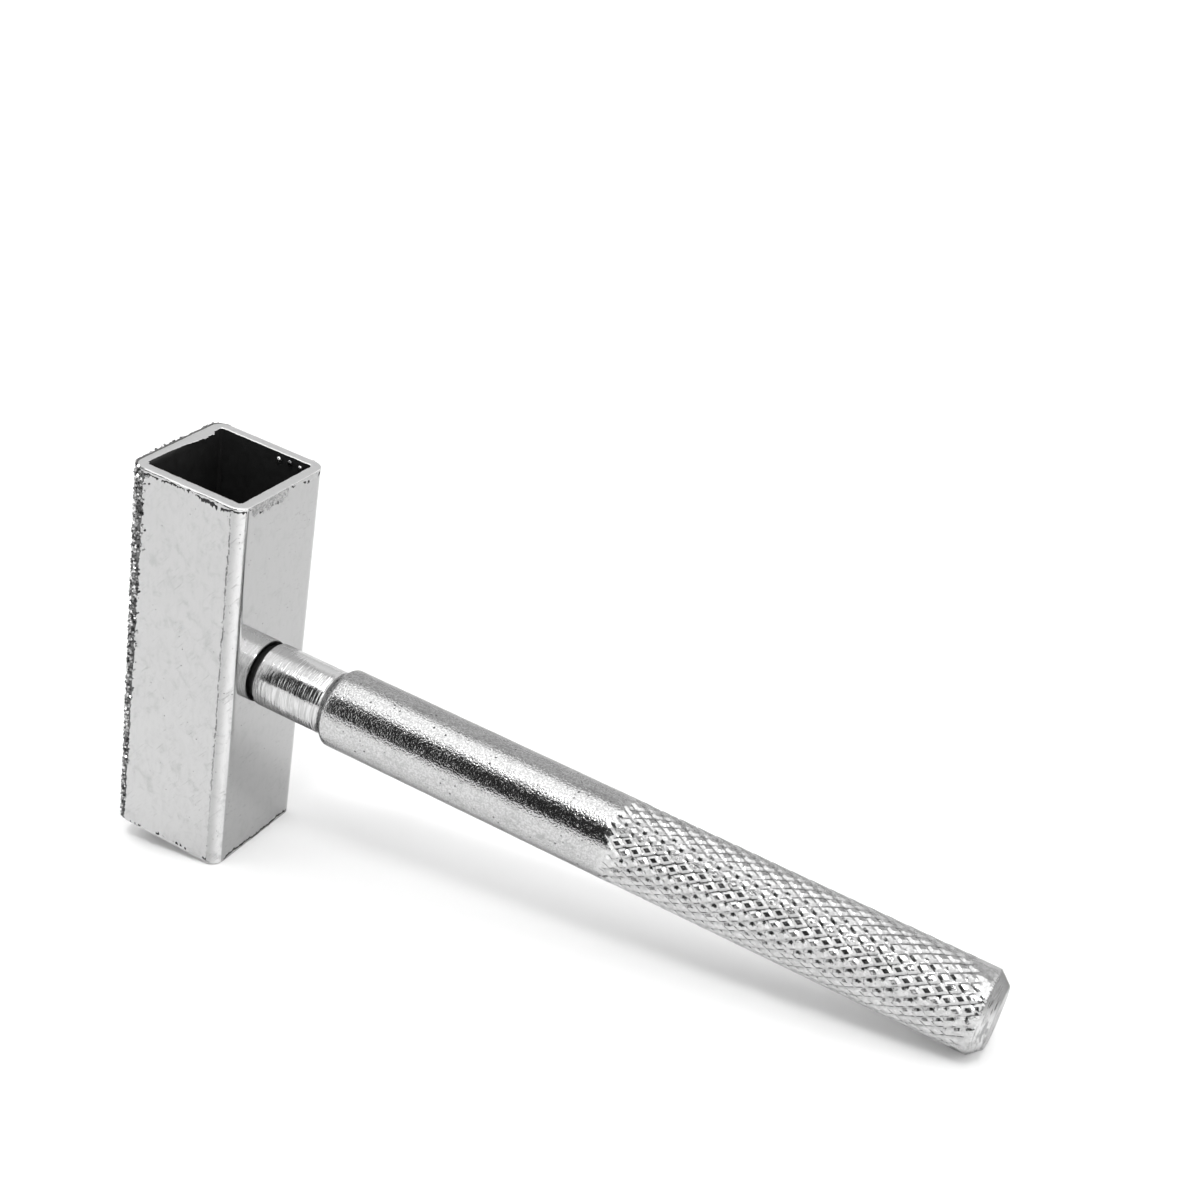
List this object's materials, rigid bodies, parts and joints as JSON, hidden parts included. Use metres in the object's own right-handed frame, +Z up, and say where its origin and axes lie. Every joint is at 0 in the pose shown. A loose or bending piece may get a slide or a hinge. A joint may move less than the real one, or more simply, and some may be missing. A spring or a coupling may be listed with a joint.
{
  "type": "diamond wheel dresser",
  "caption": "T-shaped hand dresser for grinding wheels: an open square tube head with a diamond grit face, across the end of a stepped round handle with a knurled grip.",
  "frame": {"origin": "middle of the tool's footprint box, on the table it rests on", "axes": "+X towards the handle's free end, +Y across the head, +Z up; the tool lies as it rests, on the head's lower edge and the handle's end"},
  "size_m": [0.116, 0.0162, 0.0544],
  "materials": {
    "plated_tube": "bright plated steel, lightly stained and scratched",
    "diamond_grit": "coarse diamond grit held in a plated bond",
    "turned_steel": "bright plated turned steel, knurled grip"
  },
  "bodies": {
    "root": {"head_tube": "plated_tube", "diamond_layer": "diamond_grit", "handle": "turned_steel"}
  },
  "joints": []
}
